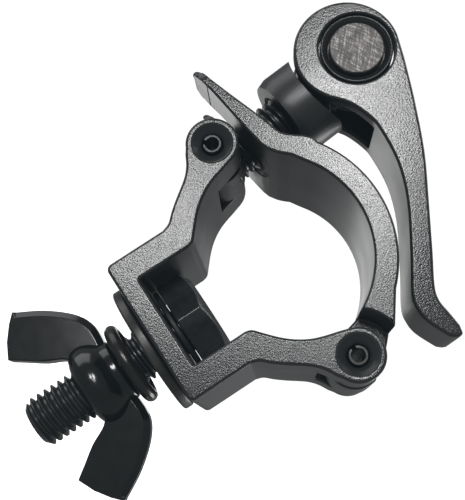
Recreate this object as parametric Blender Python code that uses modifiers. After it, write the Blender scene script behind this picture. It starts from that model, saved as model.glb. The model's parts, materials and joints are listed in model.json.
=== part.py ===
"""Quick-release pipe clamp for 32 to 35 mm tube.

World frame in metres: the origin is the centre of the clamped tube, X runs
across the clamp towards the jaw hinge, Y runs along the tube and Z points away
from the mounting bolt.  Every sub-part is its own closed solid with its own
material; moving pieces have their origin on the axis they turn about.
"""

import math

import bmesh
import bpy
from mathutils import Matrix, Vector

MM = 0.001

# --- driving dimensions (millimetres) --------------------------------------
GAP = 0.3                    # running clearance between neighbouring pieces
ROUND = 48                   # facets on large round pieces
SMALL_ROUND = 32             # facets on pins and their holes

HINGE_X = 23.3               # both hinge pins sit this far from the tube centre
BODY_HALF = 15.5             # half width of the castings along the tube
FORK_HALF = 6.5              # half width of the hinge slots in the base
KNUCKLE_HALF = 6.2           # half width of the pieces that sit in those slots
BOSS_R = 4.9                 # outside of the base at each hinge pin
KNUCKLE_R = 5.2              # outside of the jaw knuckle and the bolt eye
SLOT_R = 7.2                 # hinge slot clearance round each pin

PIN_R = 1.75                 # slotted spring pins
PIN_WALL = 0.55
PIN_SLIT = 0.7
PIN_HALF = 14.9
DISH_R = 3.75                # dished recess round each pin end
DISH_CONE = 0.85             # depth of its steep outer cone
DISH_DEPTH = 1.4
FOOT_R = 1.2                 # lower outside corners of the base
CHANNEL_CORNER_R = 0.5

ARC_CENTRE_Z = -3.5          # jaw ring centre
ARC_INNER_R = 19.0
ARC_OUTER_R = 23.35
JAW_STEP_R = 8.0             # hollow step that clears the base bosses

BASE_FLOOR = -24.7
BASE_BOTTOM = -28.6
BASE_HALF = 14.3
CHANNEL_HALF = 9.1           # the channel that keeps the bolt head from turning

LEAN = 4.7                   # the swing bolt leans outward at rest (degrees)
BOLT_R = 4.95                # M10 thread crest
BOLT_HOLE_R = BOLT_R + GAP
LEVER_PIVOT_S = 34.96        # lever pivot, measured up the swing bolt
SWING_TOP_S = 40.1

CAM_CENTRE = (-26.8, 33.0)
CAM_R = 10.42
LEVER_HALF = 8.8             # half thickness of the lever head
TIP_HALF = 8.6               # half thickness at the thumb tip
TAPER_FROM_X = -12.0
TAPER_TO_X = 28.0
LEVER_SLOT_HALF = 5.5
CHEEK_BORE_R = 7.4
BUSH_R = 7.1
PIN_END_R = 5.38

COLLAR_LOW_S = 16.4
COLLAR_HIGH_S = 24.7
COLLAR_R = 8.75
COLLAR_FACE_R = 8.15          # its foot, below the chamfer
SADDLE_R = 14.0              # hollow in the collar that faces the cam
SADDLE_CENTRE_S = 35.9

HEX_FLATS = 17.0
HEAD_LOW = -23.1
HEAD_HIGH = -16.8
BOLT_END = -56.0

A = Vector((-HINGE_X, 0.0, 0.0))
B = Vector((HINGE_X, 0.0, 0.0))
TILT = math.radians(-LEAN)
UP_BOLT = Vector((math.sin(TILT), 0.0, math.cos(TILT)))
P = A + UP_BOLT * LEVER_PIVOT_S

COATING = (0.020, 0.021, 0.022)
FASTENER = (0.012, 0.012, 0.013)


# --- scene set-up ------------------------------------------------------------
for old in list(bpy.data.objects):
    bpy.data.objects.remove(old, do_unlink=True)

parts = bpy.data.collections.new("pipe_clamp")
cutters = bpy.data.collections.new("pipe_clamp_cutters")
bpy.context.scene.collection.children.link(parts)
bpy.context.scene.collection.children.link(cutters)


# --- point helpers (all in the X-Z plane, millimetres) -----------------------
def arc(cx, cz, radius, start, end, count):
    """Points on an arc, both ends included, angles in degrees."""
    points = []
    for i in range(count + 1):
        angle = math.radians(start + (end - start) * i / count)
        points.append((cx + radius * math.cos(angle), cz + radius * math.sin(angle)))
    return points


def smooth(points, steps):
    """A smooth curve through the given points, ends included."""
    ends = [points[0]] + list(points) + [points[-1]]
    result = []
    for p0, p1, p2, p3 in zip(ends, ends[1:], ends[2:], ends[3:]):
        for i in range(steps):
            t = i / steps
            result.append(tuple(
                0.5 * (2 * b + (c - a) * t + (2 * a - 5 * b + 4 * c - d) * t ** 2
                       + (3 * b - a - 3 * c + d) * t ** 3)
                for a, b, c, d in zip(p0, p1, p2, p3)))
    result.append(tuple(points[-1]))
    return result


def mirrored(points):
    """The same outline on the other side of the centre line, order reversed."""
    return [(-x, z) for x, z in reversed(points)]


# --- object helpers ----------------------------------------------------------
def material(name, colour, metallic, roughness):
    mat = bpy.data.materials.new(name)
    mat.use_nodes = True
    shader = mat.node_tree.nodes["Principled BSDF"]
    shader.inputs["Base Color"].default_value = (*colour, 1.0)
    shader.inputs["Metallic"].default_value = metallic
    shader.inputs["Roughness"].default_value = roughness
    return mat


def add_object(name, mesh, collection, matrix):
    obj = bpy.data.objects.new(name, mesh)
    collection.objects.link(obj)
    obj.matrix_world = matrix
    return obj


def place(centre, tilt=0.0, along_y=False):
    """World matrix in metres for a piece drawn in millimetres about `centre`."""
    matrix = Matrix.Translation(Vector(centre) * MM) @ Matrix.Rotation(tilt, 4, "Y")
    if along_y:
        matrix = matrix @ Matrix.Rotation(math.radians(90.0), 4, "X")
    return matrix


def finish_mesh(bm, name):
    bmesh.ops.remove_doubles(bm, verts=bm.verts, dist=1e-7)
    bmesh.ops.recalc_face_normals(bm, faces=bm.faces)
    mesh = bpy.data.meshes.new(name)
    bm.to_mesh(mesh)
    bm.free()
    return mesh


def outline_mesh(name, points, half_depth, centre=(0.0, 0.0)):
    """A flat outline in X-Z made into a slab that reaches +-half_depth in Y."""
    curve = bpy.data.curves.new(name, "CURVE")
    curve.dimensions = "2D"
    curve.fill_mode = "BOTH"
    curve.extrude = half_depth * MM
    spline = curve.splines.new("POLY")
    spline.points.add(len(points) - 1)
    for point, (x, z) in zip(spline.points, points):
        point.co = ((x - centre[0]) * MM, (z - centre[1]) * MM, 0.0, 1.0)
    spline.use_cyclic_u = True
    holder = bpy.data.objects.new(name, curve)
    bpy.context.scene.collection.objects.link(holder)
    holder.rotation_euler = (math.radians(90.0), 0.0, 0.0)
    bpy.context.view_layer.update()
    graph = bpy.context.evaluated_depsgraph_get()
    raw = bpy.data.meshes.new_from_object(holder.evaluated_get(graph))
    bm = bmesh.new()
    bm.from_mesh(raw)
    bm.transform(holder.matrix_world)
    bmesh.ops.remove_doubles(bm, verts=bm.verts, dist=1e-7)
    bmesh.ops.dissolve_limit(bm, angle_limit=1e-4, verts=bm.verts, edges=bm.edges)
    bpy.data.objects.remove(holder, do_unlink=True)
    bpy.data.curves.remove(curve)
    bpy.data.meshes.remove(raw)
    return finish_mesh(bm, name)


def rod_mesh(name, radius, half_length, facets, shift=0.0):
    """A plain rod along local Z, centred `shift` above the origin."""
    bm = bmesh.new()
    bmesh.ops.create_cone(
        bm, cap_ends=True, segments=facets, radius1=radius * MM, radius2=radius * MM,
        depth=2.0 * half_length * MM, matrix=Matrix.Translation((0.0, 0.0, shift * MM)))
    return finish_mesh(bm, name)


def turned(name, profile, closed, facets, matrix, collection):
    """Turn an (r, z) profile about local Z; the outer side runs downward."""
    mesh = bpy.data.meshes.new(name)
    verts = [(r * MM, 0.0, z * MM) for r, z in profile]
    edges = [(i, i + 1) for i in range(len(verts) - 1)]
    if closed:
        edges.append((len(verts) - 1, 0))
    mesh.from_pydata(verts, edges, [])
    obj = add_object(name, mesh, collection, matrix)
    screw = obj.modifiers.new("turn", "SCREW")
    screw.axis = "Z"
    screw.angle = math.radians(360.0)
    screw.steps = facets
    screw.render_steps = facets
    screw.use_merge_vertices = True
    screw.merge_threshold = 1e-6
    return obj


def hide_cutter(obj):
    obj.hide_render = True
    obj.display_type = "WIRE"
    return obj


def cutter(name, mesh, matrix):
    return hide_cutter(add_object(name, mesh, cutters, matrix))


def combine(obj, other, operation):
    mod = obj.modifiers.new(other.name, "BOOLEAN")
    mod.operation = operation
    mod.solver = "EXACT"
    mod.object = other


def cut(obj, *tools):
    for tool in tools:
        combine(obj, tool, "DIFFERENCE")


def dress(obj, mat):
    """Give the finished object its material and smooth its round faces."""
    obj.data.materials.append(mat)
    obj.data.shade_smooth()
    obj.data.set_sharp_from_angle(angle=math.radians(30.0))
    return obj


# --- shared cutters ----------------------------------------------------------
def pin_hole(name, centre):
    return cutter(name, rod_mesh(name, PIN_R + GAP, 20.0, SMALL_ROUND), place(centre, along_y=True))


def dished_hole(name, centre):
    """A pin hole right through the base with a coned recess at each end."""
    half = [(DISH_R + 0.6, BODY_HALF + 0.6), (DISH_R - DISH_CONE, BODY_HALF - DISH_CONE),
            (PIN_R + GAP, BODY_HALF - DISH_DEPTH)]
    profile = [(0.0, BODY_HALF + 0.6)] + half + [(r, -y) for r, y in reversed(half)]
    profile += [(0.0, -BODY_HALF - 0.6)]
    matrix = place(centre, along_y=True)
    return hide_cutter(turned(name, profile, False, SMALL_ROUND, matrix, cutters))


# --- castings ----------------------------------------------------------------
def make_saddle_base(mat):
    inner = arc(CHANNEL_HALF - CHANNEL_CORNER_R, BASE_FLOOR + CHANNEL_CORNER_R, CHANNEL_CORNER_R,
                -90.0, 0.0, 4)
    inner += smooth([(CHANNEL_HALF, -14.1), (9.5, -12.9), (10.9, -11.65), (13.2, -9.6),
                     (15.0, -7.55), (16.4, -5.3), (17.3, -3.0), (17.9, -0.9)], 3)
    boss = arc(HINGE_X, 0.0, BOSS_R, 165.0, -66.0, 34)
    outer = smooth([(24.2, -5.25), (22.6, -6.1), (21.2, -7.15), (19.9, -8.6), (18.0, -11.2),
                    (16.3, -13.3), (14.9, -14.8), (BASE_HALF, -16.4)], 3)
    foot = arc(BASE_HALF - FOOT_R, BASE_BOTTOM + FOOT_R, FOOT_R, 0.0, -90.0, 7)
    right = inner + boss + outer + foot
    points = mirrored(right) + right
    base = add_object("saddle_base", outline_mesh("saddle_base", points, BODY_HALF), parts,
                      place((0.0, 0.0, 0.0)))
    for tag, centre in (("swing", A), ("jaw", B)):
        slot = rod_mesh(tag + "_slot", SLOT_R, FORK_HALF, ROUND)
        cut(base, cutter(tag + "_slot", slot, place(centre, along_y=True)))
        cut(base, dished_hole(tag + "_base_hole", centre))
    floor_hole = rod_mesh("floor_hole", BOLT_HOLE_R, 4.0, ROUND)
    cut(base, cutter("floor_hole", floor_hole, place((0.0, 0.0, (BASE_FLOOR + BASE_BOTTOM) / 2))))
    return dress(base, mat)


def make_jaw(mat):
    underside = smooth([(-38.4, 5.2), (-37.4, 4.75), (-36.2, 4.7), (-32.0, 5.5), (-26.0, 6.2),
                        (-18.3, 7.2), (-16.1, 8.1), (-14.6, 9.2), (-13.3, 10.6)], 2)
    bore = arc(0.0, ARC_CENTRE_Z, ARC_INNER_R, 125.0, 24.0, 40)
    knuckle = arc(HINGE_X, 0.0, KNUCKLE_R, 172.0, 372.0, 34)
    shoulder = smooth([(26.3, 4.0), (24.6, 6.1), (22.4, 8.3)], 3)
    back = arc(0.0, ARC_CENTRE_Z, ARC_OUTER_R, 42.0, 122.5, 34)
    top = smooth([(-13.8, 15.9), (-15.0, 14.9), (-16.7, 12.8), (-17.8, 11.8), (-19.2, 11.2),
                  (-23.9, 9.9), (-29.5, 8.1), (-36.5, 6.0), (-38.0, 5.6)], 2)
    points = underside + bore + knuckle + shoulder + back + top
    jaw = add_object("jaw", outline_mesh("jaw", points, BODY_HALF, (B.x, B.z)), parts, place(B))

    prong_r = 4.85
    tip_x = -38.4 + prong_r
    fork_half = 5.9
    root_x = -16.8 - fork_half
    side = [(tip_x, BODY_HALF + 4.0), (-46.0, BODY_HALF + 4.0)]
    plan = arc(root_x, 0.0, fork_half, -90.0, 90.0, 18)
    plan += arc(tip_x, fork_half + prong_r, prong_r, 270.0, 86.0, 20)
    plan += side + [(x, -y) for x, y in reversed(side)]
    plan += arc(tip_x, -fork_half - prong_r, prong_r, 274.0, 90.0, 20)
    fork = outline_mesh("fork_plan", plan, 14.0)
    upright = Matrix.Translation((0.0, 0.0, 8.0 * MM)) @ Matrix.Rotation(math.radians(-90.0), 4, "X")
    cut(jaw, cutter("fork_plan", fork, upright))

    reach = BODY_HALF + 3.0 - KNUCKLE_HALF
    for side in (-1, 1):
        name = "jaw_step_" + ("front" if side < 0 else "rear")
        step = rod_mesh(name, JAW_STEP_R, reach / 2, ROUND)
        centre = (B.x, side * (KNUCKLE_HALF + reach / 2), B.z)
        cut(jaw, cutter(name, step, place(centre, along_y=True)))
    cut(jaw, pin_hole("jaw_knuckle_hole", B))
    return dress(jaw, mat)


def make_cam_lever(mat):
    head = arc(*CAM_CENTRE, CAM_R, 75.0, 292.0, 44)
    under = smooth([(-20.8, 24.5), (-17.4, 27.1), (-13.1, 28.6), (-9.9, 28.85), (-3.0, 27.9),
                    (4.1, 25.1), (12.5, 19.9), (19.0, 15.5), (21.8, 14.6), (24.8, 14.8),
                    (29.1, 16.6)], 4)
    thumb = [(29.9, 17.45), (30.3, 18.3), (30.0, 19.0)]
    over = smooth([(28.5, 19.4), (25.6, 19.2), (22.8, 19.0), (20.1, 19.9), (14.6, 23.4),
                   (6.5, 28.4), (-1.8, 33.4), (-11.5, 38.0), (-19.3, 41.3)], 4)
    points = head + under + thumb + over
    mesh = outline_mesh("cam_lever", points, LEVER_HALF, (P.x, P.z))
    bm = bmesh.new()
    bm.from_mesh(mesh)
    start = (TAPER_FROM_X - P.x) * MM
    end = (TAPER_TO_X - P.x) * MM
    bmesh.ops.bisect_plane(bm, geom=bm.verts[:] + bm.edges[:] + bm.faces[:],
                           plane_co=(start, 0.0, 0.0), plane_no=(1.0, 0.0, 0.0))
    for vert in bm.verts:
        share = max(0.0, (vert.co.x - start) / (end - start))
        vert.co.y *= 1.0 - share * (1.0 - TIP_HALF / LEVER_HALF)
    bm.to_mesh(mesh)
    bm.free()
    lever = add_object("cam_lever", mesh, parts, place(P))

    side = A + UP_BOLT * 32.3 + Vector((UP_BOLT.z, 0.0, -UP_BOLT.x)) * (BOLT_R + 0.35)
    high = side + UP_BOLT * 18.0
    pocket = arc(-15.0, 29.0, 3.5, 0.0, 90.0, 8)
    slot = [(-42.0, 17.0), (-11.5, 17.0)] + pocket + [(side.x, 32.5), (high.x, high.z),
                                                      (-42.0, high.z)]
    cut(lever, cutter("bolt_slot", outline_mesh("bolt_slot", slot, LEVER_SLOT_HALF),
                      place((0.0, 0.0, 0.0))))
    bore = rod_mesh("cheek_bore", CHEEK_BORE_R, 12.0, ROUND)
    cut(lever, cutter("cheek_bore", bore, place(P, along_y=True)))
    return dress(lever, mat)


# --- swing bolt group ---------------------------------------------------------
def make_swing_bolt(mat):
    profile = [(0.0, SWING_TOP_S), (BOLT_R - 1.0, SWING_TOP_S), (BOLT_R, SWING_TOP_S - 1.0),
               (BOLT_R, 0.0), (0.0, 0.0)]
    bolt = turned("swing_bolt", profile, False, ROUND, place(A, TILT), parts)
    eye = cutter("bolt_eye", rod_mesh("bolt_eye", KNUCKLE_R, KNUCKLE_HALF, ROUND),
                 place(A, along_y=True))
    combine(bolt, eye, "UNION")
    cut(bolt, pin_hole("bolt_eye_hole", A))
    return dress(bolt, mat)


def make_cross_pin(mat):
    end = LEVER_HALF + 0.1
    barrel_half = 6.5
    profile = [(0.0, end), (PIN_END_R - 0.45, end), (PIN_END_R, end - 0.45),
               (PIN_END_R, barrel_half), (BUSH_R, barrel_half), (BUSH_R, -barrel_half),
               (PIN_END_R, -barrel_half), (PIN_END_R, -end + 0.45), (PIN_END_R - 0.45, -end),
               (0.0, -end)]
    pin = turned("cross_pin", profile, False, ROUND, place(P, along_y=True), parts)
    hole = cutter("barrel_hole", rod_mesh("barrel_hole", BOLT_HOLE_R, 12.0, ROUND),
                  place(P, TILT))
    cut(pin, hole)
    return dress(pin, mat)


def make_pivot_bush(name, side, mat):
    inner, outer = PIN_END_R + GAP, BUSH_R
    near, far = 6.8, LEVER_HALF - 0.25
    profile = [(outer - 0.3, far), (outer, far - 0.3), (outer, near), (inner, near),
               (inner, far - 0.15), (inner + 0.15, far)]
    bush = turned(name, profile, True, ROUND, place(P, along_y=True), parts)
    if side > 0:
        bush.matrix_world = bush.matrix_world @ Matrix.Rotation(math.pi, 4, "X")
    return dress(bush, mat)


def make_thrust_collar(mat):
    low, high = 0.0, COLLAR_HIGH_S - COLLAR_LOW_S
    profile = [(COLLAR_R, high), (COLLAR_R, 1.9), (COLLAR_FACE_R, low),
               (BOLT_HOLE_R + 0.5, low), (BOLT_HOLE_R, 0.5), (BOLT_HOLE_R, high)]
    collar = turned("thrust_collar", profile, True, ROUND,
                    place(A + UP_BOLT * COLLAR_LOW_S, TILT), parts)
    saddle = rod_mesh("collar_saddle", SADDLE_R, 14.0, 2 * ROUND)
    centre = A + UP_BOLT * SADDLE_CENTRE_S
    cut(collar, cutter("collar_saddle", saddle, place(centre, TILT, along_y=True)))
    return dress(collar, mat)


def make_hinge_pin(name, centre, slit_angle, mat):
    """A slotted spring pin: a C-shaped tube with its slit at `slit_angle`."""
    half_slit = math.degrees(math.asin(PIN_SLIT / 2 / PIN_R))
    start, end = slit_angle + half_slit, slit_angle + 360.0 - half_slit
    outer = arc(0.0, 0.0, PIN_R, start, end, 36)
    inner = arc(0.0, 0.0, PIN_R - PIN_WALL, end - half_slit * 0.6, start + half_slit * 0.6, 30)
    pin = add_object(name, outline_mesh(name, outer + inner, PIN_HALF), parts, place(centre))
    return dress(pin, mat)


# --- mounting bolt and its hardware -------------------------------------------
def make_clamp_bolt(mat):
    corner_r = HEX_FLATS / math.sqrt(3.0)
    bm = bmesh.new()
    bmesh.ops.create_cone(bm, cap_ends=True, segments=6, radius1=corner_r * MM,
                          radius2=corner_r * MM, depth=(HEAD_HIGH - HEAD_LOW) * MM)
    head_mesh = finish_mesh(bm, "clamp_bolt")
    head_mid = (HEAD_HIGH + HEAD_LOW) / 2
    bolt = add_object("clamp_bolt", head_mesh, parts, place((0.0, 0.0, head_mid)))
    half = (HEAD_HIGH - HEAD_LOW) / 2
    slope = math.tan(math.radians(30.0))
    drop = (corner_r + 2.0 - 8.1) * slope
    cone = [(0.0, half), (8.1, half), (corner_r + 2.0, half - drop), (corner_r + 2.0, -half - 2.0),
            (0.0, -half - 2.0)]
    crown = hide_cutter(turned("head_crown", cone, False, ROUND, place((0.0, 0.0, head_mid)),
                               cutters))
    combine(bolt, crown, "INTERSECT")
    shank = [(0.0, HEAD_LOW + 1.0), (BOLT_R, HEAD_LOW + 1.0), (BOLT_R, BOLT_END + 1.1),
             (BOLT_R - 1.1, BOLT_END), (0.0, BOLT_END)]
    rod = hide_cutter(turned("bolt_shank", shank, False, ROUND, place((0.0, 0.0, 0.0)), cutters))
    combine(bolt, rod, "UNION")
    return dress(bolt, mat)


def make_washer(name, radius, low, high, bevel, mat):
    hole = BOLT_HOLE_R
    half = (high - low) / 2
    profile = [(radius - bevel, half), (radius, half - bevel), (radius, -half + bevel),
               (radius - bevel, -half), (hole, -half), (hole, half)]
    washer = turned(name, profile, True, ROUND, place((0.0, 0.0, (low + high) / 2)), parts)
    return dress(washer, mat)


def make_cup_washer(mat):
    rim = arc(7.1, -1.3, 1.3, 90.0, -90.0, 7)
    profile = rim + [(BOLT_HOLE_R, -2.6), (BOLT_HOLE_R, -1.1), (6.0, -0.9), (6.6, -0.3)]
    washer = turned("cup_washer", profile, True, ROUND, place((0.0, 0.0, -33.6)), parts)
    return dress(washer, mat)


def make_wing_nut(mat):
    top = -36.5
    body = [(0.0, 0.0), (5.7, 0.0), (6.1, -0.4), (6.6, -1.8), (7.6, -3.3), (8.25, -5.0),
            (8.1, -6.9), (7.2, -8.1), (6.4, -8.5), (0.0, -8.5)]
    nut = turned("wing_nut", body, False, ROUND, place((0.0, 0.0, top)), parts)
    crest = smooth([(3.0, -37.4), (9.4, -36.9), (13.6, -38.8), (17.8, -43.5), (21.1, -49.1)], 5)
    inner = smooth([(13.0, -54.3), (11.0, -51.3), (9.2, -48.6), (6.9, -44.6), (3.0, -43.4)], 5)
    for side, tag in ((1, "right"), (-1, "left")):
        mesh = outline_mesh("wing_" + tag, crest + inner, 2.35, (0.0, top))
        for vert in mesh.vertices:
            vert.co.y *= 1.0 - 0.30 * (vert.co.x / MM - 6.0) / 15.0
            vert.co.x *= side
        if side < 0:
            mesh.flip_normals()
        wing = cutter("wing_" + tag, mesh, place((0.0, 0.0, top)))
        combine(nut, wing, "UNION")
    bore = rod_mesh("nut_bore", BOLT_HOLE_R, 12.0, ROUND)
    cut(nut, cutter("nut_bore", bore, place((0.0, 0.0, top - 4.0))))
    return dress(nut, mat)


# --- assembly ----------------------------------------------------------------
make_saddle_base(material("saddle_base_coating", COATING, 0.0, 0.45))
make_jaw(material("jaw_coating", COATING, 0.0, 0.42))
make_cam_lever(material("cam_lever_coating", COATING, 0.0, 0.40))
make_swing_bolt(material("swing_bolt_black_steel", FASTENER, 0.6, 0.32))
make_hinge_pin("swing_hinge_pin", A, 225.0, material("swing_pin_steel", FASTENER, 0.7, 0.38))
make_hinge_pin("jaw_hinge_pin", B, 180.0, material("jaw_pin_steel", FASTENER, 0.7, 0.38))
make_cross_pin(material("cross_pin_bare_steel", (0.33, 0.32, 0.31), 1.0, 0.36))
make_pivot_bush("pivot_bush_front", -1, material("front_bush_black", (0.016, 0.017, 0.017), 0.2, 0.3))
make_pivot_bush("pivot_bush_rear", 1, material("rear_bush_black", (0.016, 0.017, 0.017), 0.2, 0.3))
make_thrust_collar(material("thrust_collar_coating", (0.024, 0.026, 0.028), 0.3, 0.38))
make_clamp_bolt(material("clamp_bolt_black_steel", FASTENER, 0.6, 0.30))
make_washer("bolt_head_washer", 8.8, -24.4, -23.4, 0.2,
            material("head_washer_steel", (0.03, 0.03, 0.03), 0.6, 0.36))
make_washer("plate_washer", 13.0, -30.9, -28.9, 0.35,
            material("plate_washer_steel", (0.014, 0.013, 0.012), 0.6, 0.34))
make_cup_washer(material("cup_washer_steel", (0.014, 0.012, 0.011), 0.6, 0.33))
make_wing_nut(material("wing_nut_coating", (0.010, 0.010, 0.011), 0.1, 0.25))
bpy.context.view_layer.update()
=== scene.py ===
"""The quick-release pipe clamp's looks.

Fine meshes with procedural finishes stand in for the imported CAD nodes, and a
white studio with soft lights shows them from the photograph's side.
"""

import json
import math

import bmesh
import bpy
from mathutils import Matrix, Vector


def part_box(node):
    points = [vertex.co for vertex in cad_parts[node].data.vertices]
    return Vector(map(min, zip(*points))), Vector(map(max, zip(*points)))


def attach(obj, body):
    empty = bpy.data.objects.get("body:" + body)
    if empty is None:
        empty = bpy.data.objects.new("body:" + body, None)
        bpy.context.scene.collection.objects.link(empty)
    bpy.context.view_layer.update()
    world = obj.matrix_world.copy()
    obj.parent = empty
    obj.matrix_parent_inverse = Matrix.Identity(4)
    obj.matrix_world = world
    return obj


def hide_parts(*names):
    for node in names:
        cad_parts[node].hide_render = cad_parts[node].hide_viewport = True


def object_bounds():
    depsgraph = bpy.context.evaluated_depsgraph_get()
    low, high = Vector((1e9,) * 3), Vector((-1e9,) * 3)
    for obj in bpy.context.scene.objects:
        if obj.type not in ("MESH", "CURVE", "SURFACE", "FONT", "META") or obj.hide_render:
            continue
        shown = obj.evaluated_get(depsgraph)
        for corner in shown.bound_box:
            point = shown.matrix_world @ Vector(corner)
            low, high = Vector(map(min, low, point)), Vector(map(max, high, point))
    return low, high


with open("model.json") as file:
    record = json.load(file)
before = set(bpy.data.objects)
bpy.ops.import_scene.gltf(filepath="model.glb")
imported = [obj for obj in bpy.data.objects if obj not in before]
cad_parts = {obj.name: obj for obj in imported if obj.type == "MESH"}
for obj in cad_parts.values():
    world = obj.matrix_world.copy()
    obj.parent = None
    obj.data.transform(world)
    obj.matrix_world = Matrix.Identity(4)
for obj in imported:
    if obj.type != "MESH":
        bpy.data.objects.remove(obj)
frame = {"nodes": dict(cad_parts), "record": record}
cad_low, cad_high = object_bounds()

MM = 0.001
IN_PLACE = Matrix.Identity(4)
FACETS = 96                       # round pieces
THREAD_FACETS = 60                # per turn of a thread
CROWN_FACETS = 120                # the bolt head's turned crown

# --- places taken from the frame (metres) ---------------------------------------
JOINTS = {joint["name"]: joint for joint in frame["record"]["behaviour"]["joints"]}
SWING_PIVOT = Vector(JOINTS["swing_bolt_hinge"]["pos_m"])
JAW_PIVOT = Vector(JOINTS["jaw_hinge"]["pos_m"])
LEVER_PIVOT = Vector(JOINTS["lever_hinge"]["pos_m"])
UP_BOLT = Vector(JOINTS["collar_slide"]["axis"]).normalized()
LEAN = math.atan2(UP_BOLT.x, UP_BOLT.z)

# --- M10 coarse thread ------------------------------------------------------------
THREAD_R = 4.95 * MM              # crest
PITCH = 1.5 * MM
THREAD_DEPTH = 0.6134 * PITCH
BORE_R = 5.25 * MM                # clearance bores round it

ROOM_LIGHT = 0.20                 # what the pieces see of the white room
WHITE_ROOM = 1.05                 # what the camera sees of it


# --- camera: first, so that everything else can be judged through it ------------
def add_camera():
    """The photograph's view: close, from the front and a little below, rolled to the left."""
    data = bpy.data.cameras.new("photo_camera")
    data.sensor_fit = "VERTICAL"
    data.sensor_height = 36.0
    data.lens = 63.76
    data.clip_start = 0.01
    data.clip_end = 10.0
    camera = bpy.data.objects.new("photo_camera", data)
    bpy.context.scene.collection.objects.link(camera)
    right = Vector((0.5457, 0.0570, 0.8360)).normalized()
    forward = Vector((-0.2241, 0.9713, 0.0801))
    forward = (forward - right * forward.dot(right)).normalized()
    up = right.cross(forward)
    turn = Matrix((right, up, -forward)).transposed().to_4x4()
    camera.matrix_world = Matrix.Translation((0.03099, -0.16818, -0.02049)) @ turn
    bpy.context.scene.camera = camera
    return camera


camera = add_camera()


# --- node helpers ---------------------------------------------------------------
class Finish:
    """A small builder for one procedural material."""

    def __init__(self, name, metallic=0.0, roughness=0.4, specular=0.5):
        self.material = bpy.data.materials.new(name)
        self.material.use_nodes = True
        self.tree = self.material.node_tree
        self.shader = self.tree.nodes["Principled BSDF"]
        self.shader.inputs["Metallic"].default_value = metallic
        self.shader.inputs["Roughness"].default_value = roughness
        self.shader.inputs["Specular IOR Level"].default_value = specular
        coords = self.tree.nodes.new("ShaderNodeTexCoord")
        self.coords = coords.outputs["Object"]

    def link(self, output, target):
        self.tree.links.new(output, target)

    def moved(self, location=(0.0, 0.0, 0.0), rotation=(0.0, 0.0, 0.0), scale=(1.0, 1.0, 1.0)):
        node = self.tree.nodes.new("ShaderNodeMapping")
        node.vector_type = "TEXTURE"
        node.inputs["Location"].default_value = location
        node.inputs["Rotation"].default_value = rotation
        node.inputs["Scale"].default_value = scale
        self.link(self.coords, node.inputs["Vector"])
        return node.outputs["Vector"]

    def noise(self, scale, detail=3.0, roughness=0.5, vector=None):
        node = self.tree.nodes.new("ShaderNodeTexNoise")
        node.inputs["Scale"].default_value = scale
        node.inputs["Detail"].default_value = detail
        node.inputs["Roughness"].default_value = roughness
        self.link(vector or self.coords, node.inputs["Vector"])
        return node.outputs["Fac"]

    def cells(self, scale):
        node = self.tree.nodes.new("ShaderNodeTexVoronoi")
        node.feature = "F1"
        node.inputs["Scale"].default_value = scale
        self.link(self.coords, node.inputs["Vector"])
        return node.outputs["Distance"]

    def bands(self, scale, vector, kind="BANDS", direction="Z", distortion=0.0, detail=2.0):
        node = self.tree.nodes.new("ShaderNodeTexWave")
        node.wave_type = kind
        if kind == "BANDS":
            node.bands_direction = direction
        else:
            node.rings_direction = direction
        node.inputs["Scale"].default_value = scale
        node.inputs["Distortion"].default_value = distortion
        node.inputs["Detail"].default_value = detail
        self.link(vector, node.inputs["Vector"])
        return node.outputs["Fac"]

    def ramp(self, value, stops):
        node = self.tree.nodes.new("ShaderNodeValToRGB")
        ramp = node.color_ramp
        while len(ramp.elements) < len(stops):
            ramp.elements.new(0.5)
        for element, (position, colour) in zip(ramp.elements, stops):
            element.position = position
            element.color = (*colour, 1.0)
        self.link(value, node.inputs["Fac"])
        return node.outputs["Color"]

    def spread(self, value, low, high):
        """Maps the middle half of a pattern's range to low..high."""
        node = self.tree.nodes.new("ShaderNodeMapRange")
        node.inputs["From Min"].default_value = 0.25
        node.inputs["From Max"].default_value = 0.75
        node.inputs["To Min"].default_value = low
        node.inputs["To Max"].default_value = high
        self.link(value, node.inputs["Value"])
        return node.outputs["Result"]

    def maths(self, operation, a, b):
        node = self.tree.nodes.new("ShaderNodeMath")
        node.operation = operation
        for socket, value in zip(node.inputs, (a, b)):
            if isinstance(value, (int, float)):
                socket.default_value = value
            else:
                self.link(value, socket)
        return node.outputs["Value"]

    def colour(self, output):
        self.link(output, self.shader.inputs["Base Color"])

    def rough(self, output):
        self.link(output, self.shader.inputs["Roughness"])

    def bump(self, height, strength, distance):
        node = self.tree.nodes.new("ShaderNodeBump")
        node.inputs["Strength"].default_value = strength
        node.inputs["Distance"].default_value = distance
        previous = self.shader.inputs["Normal"]
        if previous.is_linked:
            self.link(previous.links[0].from_socket, node.inputs["Normal"])
        self.link(height, node.inputs["Height"])
        self.link(node.outputs["Normal"], self.shader.inputs["Normal"])


def blasted_coat(name):
    """Satin black coat over shot-blasted faces: a fine sparkling grain."""
    f = Finish(name, roughness=0.26, specular=0.55)
    grain = f.noise(3500.0, detail=2.0, roughness=0.55)
    pits = f.cells(3600.0)
    cloud = f.noise(120.0, detail=4.0)
    f.colour(f.ramp(grain, [(0.3, (0.012, 0.013, 0.014)), (0.7, (0.030, 0.032, 0.033))]))
    f.rough(f.spread(cloud, 0.14, 0.18))
    f.bump(grain, 1.0, 0.000028)
    f.bump(pits, 0.6, 0.000012)
    return f.material


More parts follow.
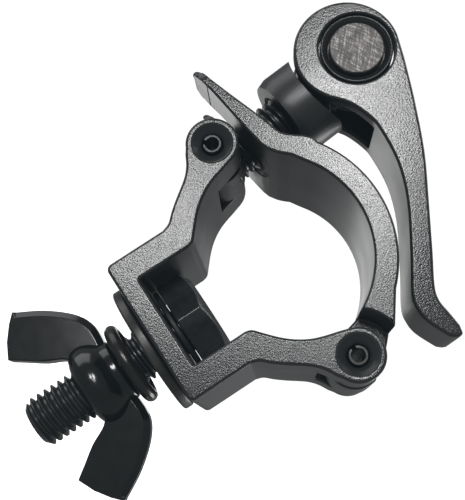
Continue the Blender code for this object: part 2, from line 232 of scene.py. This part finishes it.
def smooth_coat(name):
    """The same coat over the extruded walls: even satin with faint drawn lines along the tube."""
    f = Finish(name, roughness=0.32, specular=0.5)
    lines = f.noise(900.0, detail=3.0, vector=f.moved(scale=(1.0, 30.0, 1.0)))
    orange_peel = f.noise(1500.0, detail=2.0)
    cloud = f.noise(90.0, detail=4.0)
    f.colour(f.ramp(cloud, [(0.3, (0.016, 0.018, 0.019)), (0.7, (0.026, 0.028, 0.029))]))
    f.rough(f.spread(cloud, 0.29, 0.38))
    f.bump(lines, 0.5, 0.00001)
    f.bump(orange_peel, 0.5, 0.000012)
    return f.material


def turned_coat(name, tilt, roughness, tone):
    """Black coat over a turned surface: fine rings round the leaning axis."""
    f = Finish(name, metallic=0.25, roughness=roughness, specular=0.6)
    along = f.moved(rotation=(0.0, tilt, 0.0))
    rings = f.bands(900.0, along, distortion=1.5, detail=4.0)
    cloud = f.noise(140.0, detail=4.0)
    f.colour(f.ramp(cloud, [(0.3, (tone * 0.8, tone * 0.85, tone * 0.9)),
                            (0.7, (tone, tone * 1.06, tone * 1.1))]))
    f.rough(f.spread(rings, roughness - 0.04, roughness + 0.08))
    f.bump(rings, 0.25, 0.00003)
    f.bump(f.noise(2200.0, detail=3.0), 0.15, 0.00005)
    return f.material


def black_steel(name, roughness, tint):
    """Blackened fasteners: glossy, slightly uneven, with handling marks."""
    f = Finish(name, metallic=0.55, roughness=roughness, specular=0.6)
    cloud = f.noise(260.0, detail=6.0, roughness=0.6)
    scuffs = f.noise(700.0, detail=5.0, vector=f.moved(scale=(1.0, 1.0, 6.0)))
    worn = tuple(2.2 * part for part in tint)
    f.colour(f.ramp(cloud, [(0.35, tint), (0.75, worn)]))
    f.rough(f.spread(scuffs, roughness - 0.08, roughness + 0.12))
    f.bump(cloud, 0.2, 0.00008)
    f.bump(f.noise(2600.0, detail=2.0), 0.15, 0.00004)
    return f.material


def gloss_coat(name):
    """Thick glossy black dip coat with soft waviness."""
    f = Finish(name, roughness=0.16, specular=0.55)
    wave = f.noise(220.0, detail=3.0)
    cloud = f.noise(400.0, detail=5.0)
    f.colour(f.ramp(cloud, [(0.35, (0.003, 0.004, 0.004)), (0.75, (0.006, 0.007, 0.007))]))
    f.rough(f.spread(cloud, 0.15, 0.18))
    f.bump(wave, 1.0, 0.000006)
    f.bump(f.noise(1500.0, detail=3.0), 1.0, 0.000003)
    return f.material


def machined_steel(name, centre):
    """Dull turned steel: faint rings round the pin's own axis, crossed by scratches."""
    f = Finish(name, metallic=0.85, roughness=0.45, specular=0.4)
    local = f.moved(location=tuple(centre))
    rings = f.bands(700.0, local, kind="RINGS", direction="Y", distortion=14.0, detail=6.0)
    scratch_a = f.noise(2600.0, detail=4.0, roughness=0.7,
                        vector=f.moved(rotation=(0.0, 0.75, 0.0), scale=(9.0, 1.0, 1.0)))
    scratch_b = f.noise(2800.0, detail=4.0, roughness=0.7,
                        vector=f.moved(rotation=(0.0, -0.45, 0.0), scale=(8.0, 1.0, 1.0)))
    stains = f.noise(330.0, detail=4.0)
    marks = f.maths("MULTIPLY", scratch_a, scratch_b)
    mix = f.maths("ADD", f.maths("MULTIPLY", rings, 0.06), f.maths("MULTIPLY", marks, 1.3))
    mix = f.maths("ADD", mix, f.maths("MULTIPLY", stains, 0.25))
    f.colour(f.ramp(mix, [(0.30, (0.022, 0.021, 0.022)), (0.50, (0.095, 0.090, 0.088)),
                          (0.62, (0.30, 0.285, 0.275)), (0.75, (0.55, 0.53, 0.52))]))
    f.rough(f.spread(mix, 0.38, 0.55))
    f.bump(mix, 0.8, 0.00008)
    return f.material


# --- mesh helpers -----------------------------------------------------------------
SAME_PLACE = 1e-7                 # metres: vertices this close are one
ON_PLANE = 1e-6                   # metres: vertices this close to a cut lie on it
FLAT_ANGLE = math.radians(0.4)    # CAD facets this close in slope are one face
FLANK = 0.99                      # least |normal y| of a casting's flat flank
FACE_COAT = 0.93                  # least |normal y| under the blasted finish
KEEP_FLAT = 80                    # weight of large faces in the shading normals


def add_piece(name, mesh, matrix=None):
    obj = bpy.data.objects.new(name, mesh)
    bpy.context.scene.collection.objects.link(obj)
    if matrix is not None:
        obj.matrix_world = matrix
    return obj


def to_mesh(bm, name):
    bmesh.ops.recalc_face_normals(bm, faces=bm.faces)
    mesh = bpy.data.meshes.new(name)
    bm.to_mesh(mesh)
    bm.free()
    return mesh


def copy_of_node(node, name, cuts=()):
    """The CAD node's own surface with its flat faces made whole again.

    `cuts` are the x positions of the hole axes: the flats stay divided there, so
    that no face runs all the way round a hole.
    """
    source = frame["nodes"][node]
    bm = bmesh.new()
    bm.from_mesh(source.data)
    bm.transform(source.matrix_world)
    bmesh.ops.remove_doubles(bm, verts=bm.verts, dist=SAME_PLACE)
    for x in cuts:
        bmesh.ops.bisect_plane(bm, geom=bm.verts[:] + bm.edges[:] + bm.faces[:], dist=ON_PLANE,
                               plane_co=(x, 0.0, 0.0), plane_no=(1.0, 0.0, 0.0))
        for edge in bm.edges:
            if all(abs(v.co.x - x) < 2 * ON_PLANE for v in edge.verts):
                edge.seam = True
    bmesh.ops.dissolve_limit(bm, angle_limit=FLAT_ANGLE, verts=bm.verts, edges=bm.edges,
                             delimit={"SEAM"})
    return add_piece(name, to_mesh(bm, name))


def bake_modifiers(obj):
    """Turns the object's modifiers into its mesh, in the frame's own coordinates."""
    bpy.context.view_layer.update()
    graph = bpy.context.evaluated_depsgraph_get()
    mesh = bpy.data.meshes.new_from_object(obj.evaluated_get(graph))
    mesh.transform(obj.matrix_world)
    obj.modifiers.clear()
    obj.data = mesh
    obj.matrix_world = Matrix.Identity(4)
    return obj


def bevel(obj, width, segments, angle=28.0):
    """Rounds every edge sharper than `angle` degrees."""
    mod = obj.modifiers.new("edge", "BEVEL")
    mod.width = width
    mod.segments = segments
    mod.limit_method = "ANGLE"
    mod.angle_limit = math.radians(angle)
    mod.use_clamp_overlap = True
    return bake_modifiers(obj)


def round_edges(obj, rules, other, segments=4, angle=28.0):
    """Rounds sharp edges by kind.

    `rules` pairs a test on (edge middle, its two faces) with a radius; edges
    that pass none of them take the radius `other`.
    """
    widest = max([radius for test, radius in rules] + [other])
    bm = bmesh.new()
    bm.from_mesh(obj.data)
    weight = bm.edges.layers.float.new("bevel_weight_edge")
    for edge in bm.edges:
        if len(edge.link_faces) != 2 or edge.calc_face_angle() < math.radians(angle):
            continue
        middle = (edge.verts[0].co + edge.verts[1].co) / 2
        radius = next((r for test, r in rules if test(middle, edge.link_faces)), other)
        edge[weight] = radius / widest
    bm.to_mesh(obj.data)
    bm.free()
    mod = obj.modifiers.new("edge", "BEVEL")
    mod.width = widest
    mod.segments = segments
    mod.limit_method = "WEIGHT"
    mod.use_clamp_overlap = False
    return bake_modifiers(obj)


def on_flank(middle, faces):
    """An edge of a casting's flat front or back face."""
    return any(abs(face.normal.y) > FLANK for face in faces)


def near_axis(centre, radius, flank_only=True):
    """A test for rims round an axis that runs along Y."""
    def test(middle, faces):
        away = math.hypot(middle.x - centre.x, middle.z - centre.z)
        return away < radius and (not flank_only or on_flank(middle, faces))
    return test


def combine(obj, other, operation):
    """Bakes one boolean and throws the tool away."""
    mod = obj.modifiers.new(other.name, "BOOLEAN")
    mod.operation = operation
    mod.solver = "EXACT"
    mod.object = other
    bake_modifiers(obj)
    bpy.data.objects.remove(other, do_unlink=True)
    return obj


def arc(cx, cz, radius, start, end, count):
    """Points on a circle from `start` to `end` degrees."""
    return [(cx + radius * math.cos(math.radians(start + (end - start) * i / count)),
             cz + radius * math.sin(math.radians(start + (end - start) * i / count)))
            for i in range(count + 1)]


def turned(name, profile, closed=False, matrix=IN_PLACE, facets=FACETS):
    """An (r, z) profile in metres turned about local Z."""
    bm = bmesh.new()
    rows = []
    for r, z in profile:
        if r == 0.0:
            rows.append([bm.verts.new((0.0, 0.0, z))])
        else:
            rows.append([bm.verts.new((r * math.cos(2 * math.pi * i / facets),
                                       r * math.sin(2 * math.pi * i / facets), z))
                         for i in range(facets)])
    pairs = list(zip(rows, rows[1:]))
    if closed:
        pairs.append((rows[-1], rows[0]))
    for upper, lower in pairs:
        for i in range(facets):
            j = (i + 1) % facets
            ring = [upper[i % len(upper)], upper[j % len(upper)],
                    lower[j % len(lower)], lower[i % len(lower)]]
            corners = [v for k, v in enumerate(ring) if v not in ring[:k]]
            if len(corners) > 2:
                bm.faces.new(corners)
    return add_piece(name, to_mesh(bm, name), matrix)


def rod(name, radius, low, high, matrix=IN_PLACE, facets=FACETS):
    """A plain cylinder about local Z."""
    profile = [(0.0, high), (radius, high), (radius, low), (0.0, low)]
    return turned(name, profile, matrix=matrix, facets=facets)


def thread(name, low, high, matrix):
    """A right-hand M10 thread as one closed helical solid, past both ends."""
    steps = THREAD_FACETS
    root = THREAD_R - THREAD_DEPTH
    shape = ((root, 0.0), (root, 0.22), (THREAD_R, 0.56), (THREAD_R, 0.68))
    turns = int(math.ceil((high - low) / PITCH)) + 4
    start = low - 2 * PITCH
    last = turns * steps
    bm = bmesh.new()
    columns = []
    for c in range(last + 1):
        angle = 2 * math.pi * c / steps
        columns.append([bm.verts.new((r * math.cos(angle), r * math.sin(angle),
                                      start + PITCH * (c / steps + share)))
                        for r, share in shape])
    for c in range(last):
        here, there = columns[c], columns[c + 1]
        for k in range(3):
            bm.faces.new((here[k], there[k], there[k + 1], here[k + 1]))
        if c + 1 + steps <= last:
            bm.faces.new((here[3], there[3], columns[c + 1 + steps][0], columns[c + steps][0]))
    bottom = [columns[c][0] for c in range(steps + 1)]
    bottom += [columns[0][k] for k in (3, 2, 1)]
    top = [columns[c][3] for c in range(last - steps, last + 1)]
    top += [columns[last][k] for k in (2, 1, 0)]
    for loop, z in ((bottom, start - PITCH), (top, start + PITCH * (turns + 2))):
        hub = bm.verts.new((0.0, 0.0, z))
        for a, b in zip(loop, loop[1:] + loop[:1]):
            bm.faces.new((a, b, hub))
    return add_piece(name, to_mesh(bm, name), matrix)


def threaded_rod(name, low, high, foot, tip, matrix=IN_PLACE):
    """The helical thread trimmed to length, its ends chamfered by `foot` and `tip`."""
    piece = thread(name, low, high, matrix)
    spare = 0.0003
    outline = [(0.0, high), (THREAD_R - tip, high), (THREAD_R + spare, high - tip - spare),
               (THREAD_R + spare, low + foot + spare), (THREAD_R - foot, low), (0.0, low)]
    return combine(piece, turned("limit", outline, matrix=matrix), "INTERSECT")


def dress(obj, body, node, materials, sharp=35.0, split_faces=False):
    """Smooth shading, materials, and the piece's place in the frame."""
    obj.data.materials.clear()
    for material in materials:
        obj.data.materials.append(material)
    if split_faces:
        for face in obj.data.polygons:
            face.material_index = 0 if abs(face.normal.y) > FACE_COAT else 1
    obj.data.shade_smooth()
    obj.data.set_sharp_from_angle(angle=math.radians(sharp))
    steady = obj.modifiers.new("flat_faces_stay_flat", "WEIGHTED_NORMAL")
    steady.mode = "FACE_AREA"
    steady.weight = KEEP_FLAT
    steady.keep_sharp = True
    bake_modifiers(obj)
    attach(obj, body)
    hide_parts(node)
    return obj


def along_y(centre):
    """Local Z along world -Y, through the centre."""
    return Matrix.Translation(centre) @ Matrix.Rotation(math.radians(90.0), 4, "X")


def up_the_bolt(centre):
    """Local Z along the swing bolt, through the centre."""
    return Matrix.Translation(centre) @ Matrix.Rotation(LEAN, 4, "Y")


# --- castings -----------------------------------------------------------------------
INNER_EDGE = 0.0002                          # radius of the edges that no rule picks
GROOVE_R, GROOVE_RIM_R = 0.00016, 0.0003     # the jaw's grip lines
HINGE_RIM_R, LEVER_RIM_R = 0.0041, 0.0078    # just outside the rims of the bores


def lean_back(obj, start, end, depth):
    """Slopes the front face back by up to `depth` between two x positions."""
    full_from = 0.008                 # nearer the middle plane the slope fades out
    for vert in obj.data.vertices:
        share = min(max((vert.co.x - start) / (end - start), 0.0), 1.0)
        if vert.co.y < 0.0:
            vert.co.y += depth * share * min(1.0, -vert.co.y / full_from)


def make_casting(node, body, cuts, rules, taken=(), lean=None):
    """A coated casting; `taken` holds solids to cut away, `lean` is for lean_back."""
    piece = copy_of_node(node, node + "_fine", cuts)
    if lean:
        lean_back(piece, *lean)
    for extra in taken:
        combine(piece, extra, "DIFFERENCE")
    round_edges(piece, rules, INNER_EDGE)
    coats = [blasted_coat(node + "_face_coat"), smooth_coat(node + "_wall_coat")]
    return dress(piece, body, node, coats, split_faces=True)


def jaw_grip_lines():
    """Middles of two fine grooves across the underside of the jaw's tongue.

    They lie a little outside the metal, so that the grooves are shallow.
    """
    tip_x, z_at_tip, rise, outside = -0.0362, 0.0047, 0.19, 0.00004
    return [Vector((x, 0.0, z_at_tip + rise * (x - tip_x) - outside))
            for x in (-0.0353, -0.0332)]


grip_lines = jaw_grip_lines()
make_casting("saddle_base", "base", [SWING_PIVOT.x, 0.0, JAW_PIVOT.x],
             [(near_axis(SWING_PIVOT, HINGE_RIM_R), 0.00035),
              (near_axis(JAW_PIVOT, HINGE_RIM_R), 0.00035),
              (on_flank, 0.00055)])
make_casting("jaw", "upper_jaw", [LEVER_PIVOT.x, JAW_PIVOT.x],
             [(near_axis(line, GROOVE_RIM_R, False), 0.00002) for line in grip_lines]
             + [(on_flank, 0.0005)],
             taken=[rod("grip_line", GROOVE_R, -0.02, 0.02, along_y(line), 16)
                    for line in grip_lines])
make_casting("cam_lever", "lever", [LEVER_PIVOT.x],
             [(near_axis(LEVER_PIVOT, LEVER_RIM_R), 0.0005), (on_flank, 0.0006)],
             lean=(-0.012, 0.028, 0.0012))


# --- swing bolt group -----------------------------------------------------------------
def make_swing_bolt():
    """A threaded rod that ends in an eye round its hinge pin."""
    foot, top = 0.0015, 0.0401        # along the bolt, from its pivot
    eye_r, eye_half, edge, pin_r = 0.0052, 0.0062, 0.0003, 0.00205
    shank = threaded_rod("swing_bolt_fine", foot, top, 0.0001, 0.0009, up_the_bolt(SWING_PIVOT))
    profile = [(0.0, eye_half), (eye_r - edge, eye_half), (eye_r, eye_half - edge)]
    profile += [(r, -z) for r, z in reversed(profile)]
    combine(shank, turned("eye", profile, matrix=along_y(SWING_PIVOT)), "UNION")
    combine(shank, rod("pin_hole", pin_r, -0.02, 0.02, along_y(SWING_PIVOT), 48), "DIFFERENCE")
    return dress(shank, "swing", "swing_bolt",
                 [black_steel("swing_bolt_finish", 0.3, (0.012, 0.013, 0.014))])


def make_cross_pin():
    """A barrel between the lever's cheeks with a thinner end through each, bored for the bolt."""
    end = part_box("cross_pin")[1][1]
    barrel_half, barrel_r, chamfer = 0.0065, 0.0071, 0.0002
    end_r, edge = 0.00538, 0.00035
    dimple_r, dimple_depth = 0.0004, 0.00012
    profile = [(0.0, end - dimple_depth), (dimple_r, end)]
    profile += arc(end_r - edge, end - edge, edge, 90.0, 0.0, 5)
    profile += [(end_r, barrel_half), (barrel_r - chamfer, barrel_half),
                (barrel_r, barrel_half - chamfer)]
    profile += [(r, -z) for r, z in reversed(profile)]
    pin = turned("cross_pin_fine", profile, matrix=along_y(LEVER_PIVOT))
    combine(pin, rod("hole", BORE_R, -0.012, 0.012, up_the_bolt(LEVER_PIVOT)), "DIFFERENCE")
    return dress(pin, "swing", "cross_pin",
                 [machined_steel("cross_pin_finish", LEVER_PIVOT)])


def make_bush(node, side):
    """A ring round the cross pin's end, dished towards the pin; side -1 is the front."""
    low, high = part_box(node)
    near, far = sorted((abs(low[1]), abs(high[1])))
    inner, outer = 0.00568, (high[2] - low[2]) / 2
    edge, chamfer, fall = 0.0003, 0.0001, 0.0008
    profile = arc(outer - edge, far - edge, edge, 125.0, 0.0, 6)
    profile += [(outer, near), (inner, near), (inner, far - fall - chamfer),
                (inner + chamfer, far - fall)]
    turn = along_y(LEVER_PIVOT)
    if side > 0:
        turn = turn @ Matrix.Rotation(math.pi, 4, "X")
    bush = turned(node + "_fine", profile, True, turn)
    return dress(bush, "lever", node, [turned_coat(node + "_finish", 0.0, 0.3, 0.02)])


def make_collar():
    piece = copy_of_node("thrust_collar", "thrust_collar_fine")
    bevel(piece, 0.00018, 2, 35.0)
    return dress(piece, "collar", "thrust_collar",
                 [turned_coat("thrust_collar_finish", LEAN, 0.34, 0.03)])


def make_hinge_pin(node):
    piece = copy_of_node(node, node + "_fine")
    bevel(piece, 0.00014, 2, 40.0)
    return dress(piece, "base", node,
                 [black_steel(node + "_finish", 0.34, (0.02, 0.02, 0.02))])


make_swing_bolt()
make_cross_pin()
make_bush("pivot_bush_front", -1)
make_bush("pivot_bush_rear", 1)
make_collar()
make_hinge_pin("swing_hinge_pin")
make_hinge_pin("jaw_hinge_pin")


# --- mounting bolt and its hardware ------------------------------------------------------
def make_clamp_bolt():
    """The M10 bolt: a hexagon head under a turned crown, and a threaded shank."""
    low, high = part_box("clamp_bolt")
    head_low, head_high, end = -0.0231, high[2], low[2]
    corner_r = (high[1] - low[1]) / 2
    bm = bmesh.new()
    bmesh.ops.create_cone(bm, cap_ends=True, segments=6, radius1=corner_r, radius2=corner_r,
                          depth=head_high - head_low,
                          matrix=Matrix.Translation((0.0, 0.0, (head_high + head_low) / 2)))
    head = add_piece("head", to_mesh(bm, "head"))
    bevel(head, 0.0003, 2)
    flat_r, wide, foot = 0.0072, corner_r + 0.002, head_low - 0.001
    drop = (wide - flat_r) * math.tan(math.radians(30.0))
    crown = turned("crown", [(0.0, head_high), (flat_r, head_high), (wide, head_high - drop),
                             (wide, foot), (0.0, foot)], facets=CROWN_FACETS)
    combine(head, crown, "INTERSECT")
    overlap = 0.0016                  # how far the shank runs up inside the head
    bolt = threaded_rod("clamp_bolt_fine", end, head_low + overlap, 0.0011, 0.0)
    combine(bolt, head, "UNION")
    return dress(bolt, "base", "clamp_bolt",
                 [black_steel("clamp_bolt_finish", 0.24, (0.030, 0.033, 0.034))])


def make_washer(node, edge, roughness, tint):
    """A flat washer with rounded outer edges and chamfered inner ones."""
    low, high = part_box(node)
    outer, top, bottom, chamfer = (high[0] - low[0]) / 2, high[2], low[2], 0.0001
    profile = arc(outer - edge, top - edge, edge, 90.0, 0.0, 5)
    profile += arc(outer - edge, bottom + edge, edge, 0.0, -90.0, 5)
    profile += [(BORE_R + chamfer, bottom), (BORE_R, bottom + chamfer),
                (BORE_R, top - chamfer), (BORE_R + chamfer, top)]
    piece = turned(node + "_fine", profile, True)
    return dress(piece, "base", node,
                 [black_steel(node + "_finish", roughness, tint)])


def make_cup_washer():
    """A full round rim about a shallow cup that opens upwards."""
    low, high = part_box("cup_washer")
    outer, top, bottom = (high[0] - low[0]) / 2, high[2], low[2]
    rim_r = (top - bottom) / 2
    profile = arc(outer - rim_r, top - rim_r, rim_r, 100.0, -90.0, 16)
    profile += [(BORE_R, bottom), (BORE_R, top - 0.0011), (0.0060, top - 0.0009),
                (0.0066, top - 0.0004)]
    piece = turned("cup_washer_fine", profile, True)
    return dress(piece, "nut_carriage", "cup_washer",
                 [black_steel("cup_washer_finish", 0.24, (0.020, 0.019, 0.018))])


def smooth_line(points, steps):
    """A smooth curve through the given points, ends included."""
    ends = [points[0]] + list(points) + [points[-1]]
    result = []
    for p0, p1, p2, p3 in zip(ends, ends[1:], ends[2:], ends[3:]):
        for i in range(steps):
            t = i / steps
            result.append(tuple(
                0.5 * (2 * b + (c - a) * t + (2 * a - 5 * b + 4 * c - d) * t ** 2
                       + (3 * b - a - 3 * c + d) * t ** 3)
                for a, b, c, d in zip(p0, p1, p2, p3)))
    result.append(tuple(points[-1]))
    return result


def make_wing(side, top):
    """One wing: flat faces, a broad chamfer along its crest and a slightly bowed end.

    Its outline is in millimetres, outwards from the bolt and down from the nut's top.
    """
    crest = smooth_line([(3.0, 0.9), (9.4, 0.4), (13.6, 2.3), (17.8, 7.0), (21.0, 12.5)], 6)
    end = [(19.2, 14.2), (16.4, 16.2), (13.2, 17.7)]
    inner = smooth_line([(11.2, 14.9), (9.2, 12.1), (6.9, 8.1), (3.0, 6.9)], 6)
    points = [Vector(point) for point in crest + end + inner]
    crest_chamfer, edge_chamfer = (1.25, 0.75), (0.2, 0.2)      # inset, drop
    root_half, root_x, span, thinning = 2.35, 6.0, 15.0, 0.30
    rings = []
    bm = bmesh.new()
    for i, point in enumerate(points):
        run = (points[(i + 1) % len(points)] - points[i - 1]).normalized()
        inward = Vector((-run.y, run.x))
        inset, drop = crest_chamfer if 0 < i < len(crest) - 1 else edge_chamfer
        half = root_half * (1.0 - thinning * (point.x - root_x) / span)
        face = point + inward * inset
        section = [(face, -half), (point, drop - half), (point, half - drop), (face, half)]
        rings.append([bm.verts.new((side * q.x * MM, y * MM, top - q.y * MM)) for q, y in section])
    for ring, following in zip(rings, rings[1:] + rings[:1]):
        for a, b, c, d in zip(ring, ring[1:], following[1:], following):
            bm.faces.new((a, b, c, d))
    bm.faces.new([ring[0] for ring in rings])
    bm.faces.new([ring[-1] for ring in reversed(rings)])
    wing = add_piece("wing", to_mesh(bm, "wing"))
    return bevel(wing, 0.00014, 3, 18.0)


def make_wing_nut():
    """A round-bellied nut with two wings, bored through."""
    top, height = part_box("wing_nut")[1][2], 0.0085
    belly = smooth_line([(5.7, 0.0), (6.15, 0.45), (6.5, 1.8), (7.6, 3.4), (8.2, 5.0),
                         (8.05, 6.7), (7.2, 7.9), (6.2, 8.45)], 4)
    profile = [(0.0, top)] + [(r * MM, top - z * MM) for r, z in belly] + [(0.0, top - height)]
    nut = turned("wing_nut_fine", profile)
    for side in (1, -1):
        combine(nut, make_wing(side, top), "UNION")
    combine(nut, rod("bore", BORE_R, top - 0.012, top + 0.004), "DIFFERENCE")
    return dress(nut, "wing", "wing_nut", [gloss_coat("wing_nut_finish")],
                 sharp=40.0)


make_clamp_bolt()
make_washer("bolt_head_washer", 0.0003, 0.5, (0.012, 0.013, 0.014))
make_washer("plate_washer", 0.0005, 0.32, (0.034, 0.033, 0.032))
make_cup_washer()
make_wing_nut()


# --- room and light -----------------------------------------------------------------------
def add_floor():
    """A plain pale floor, just under the clamp."""
    bpy.ops.mesh.primitive_plane_add(size=6.0, location=(0.0, 0.0, -0.09))
    floor = bpy.context.object
    floor.name = "floor"
    material = bpy.data.materials.new("floor")
    material.use_nodes = True
    shader = material.node_tree.nodes["Principled BSDF"]
    shader.inputs["Base Color"].default_value = (0.9, 0.9, 0.9, 1.0)
    shader.inputs["Roughness"].default_value = 0.9
    shader.inputs["Emission Color"].default_value = (1.0, 1.0, 1.0, 1.0)
    shader.inputs["Emission Strength"].default_value = 1.0
    floor.data.materials.append(material)
    floor.visible_glossy = False
    floor.visible_diffuse = False


def add_area_light(name, shape, size, radiance, share):
    """An area light that the camera does not see; `share` is its part of size times size."""
    data = bpy.data.lights.new(name, "AREA")
    data.shape = shape
    data.size, data.size_y = size
    data.energy = radiance * math.pi * data.size * data.size_y * share
    light = bpy.data.objects.new(name, data)
    bpy.context.scene.collection.objects.link(light)
    light.visible_camera = False
    return light


def add_softbox(name, middle, reach, roll, radiance):
    """An oval light that the flat front faces mirror to the camera.

    `middle` is where its reflection lies in the picture and `reach` is how long
    and wide it is there, both as slopes from the camera's axis; `roll` turns it
    by degrees, its right end up.
    """
    distance = 0.9                    # from the front faces to the light
    roll = math.radians(roll)
    view = camera.matrix_world.to_3x3()
    across, up, forward = (view @ Vector(axis) for axis in ((1, 0, 0), (0, 1, 0), (0, 0, -1)))
    sight = forward + across * middle[0] + up * middle[1]
    run = (cad_low[1] - camera.location.y) / sight.y
    mirror = Vector((1.0, -1.0, 1.0))
    place = camera.location + sight * run + sight * mirror * distance
    back = (sight * mirror).normalized()
    side = (across * math.cos(roll) + up * math.sin(roll)) * mirror
    side = (side - back * side.dot(back)).normalized()
    size = [span * (run + distance) for span in reach]
    light = add_area_light(name, "ELLIPSE", size, radiance, math.pi / 4)
    turn = Matrix((side, back.cross(side), back)).transposed().to_4x4()
    light.matrix_world = Matrix.Translation(place) @ turn


def add_panel(name, direction, distance, size, radiance):
    """A soft panel in a given direction from the object's middle."""
    back = Vector(direction).normalized()
    light = add_area_light(name, "RECTANGLE", size, radiance, 1.0)
    light.location = (cad_low + cad_high) / 2 + back * distance
    light.rotation_euler = back.to_track_quat("Z", "Y").to_euler()


def studio_world():
    """Pure white to the eye, a dim room to everything else."""
    world = bpy.data.worlds.new("studio")
    bpy.context.scene.world = world
    world.use_nodes = True
    tree = world.node_tree
    background = tree.nodes["Background"]
    path = tree.nodes.new("ShaderNodeLightPath")
    choose = tree.nodes.new("ShaderNodeMix")
    choose.data_type = "FLOAT"
    tree.links.new(path.outputs["Is Camera Ray"], choose.inputs["Factor"])
    choose.inputs["A"].default_value = ROOM_LIGHT
    choose.inputs["B"].default_value = WHITE_ROOM
    tree.links.new(choose.outputs["Result"], background.inputs["Strength"])
    background.inputs["Color"].default_value = (1.0, 1.0, 1.0, 1.0)


def veil_darkest_tones():
    """Lifts black a little, as in the photograph."""
    look = bpy.context.scene.view_settings
    look.view_transform = "Standard"
    look.use_curve_mapping = True
    look.curve_mapping.black_level = (-0.0050, -0.0072, -0.0084)
    look.curve_mapping.update()


# name, middle, reach, roll, radiance
SOFTBOXES = [
    ("left_softbox", (-0.085, 0.040), (0.19, 0.14), 60.0, 22.0),
    ("right_softbox", (0.150, 0.150), (0.19, 0.13), 104.0, 28.0),
    ("jaw_softbox", (0.143, 0.012), (0.13, 0.055), 100.0, 34.0),
    ("low_softbox", (0.070, -0.080), (0.14, 0.07), 0.0, 14.0),
]
# name, direction, distance, size, radiance
PANELS = [
    ("left_panel", (-0.95, -0.15, 0.05), 0.8, (0.5, 0.8), 1.6),
    ("top_panel", (-0.18, 0.25, 0.95), 0.8, (0.6, 0.75), 2.0),
    ("rear_panel", (-0.40, 0.87, -0.36), 0.8, (0.30, 0.30), 2.2),
    ("sweep_panel", (-0.19, 0.97, 0.04), 0.8, (0.20, 0.28), 1.35),
    ("back_softbox", (0.72, 0.68, 0.2), 0.9, (0.35, 0.35), 6.0),
]

veil_darkest_tones()
add_floor()
for softbox in SOFTBOXES:
    add_softbox(*softbox)
for panel in PANELS:
    add_panel(*panel)
studio_world()
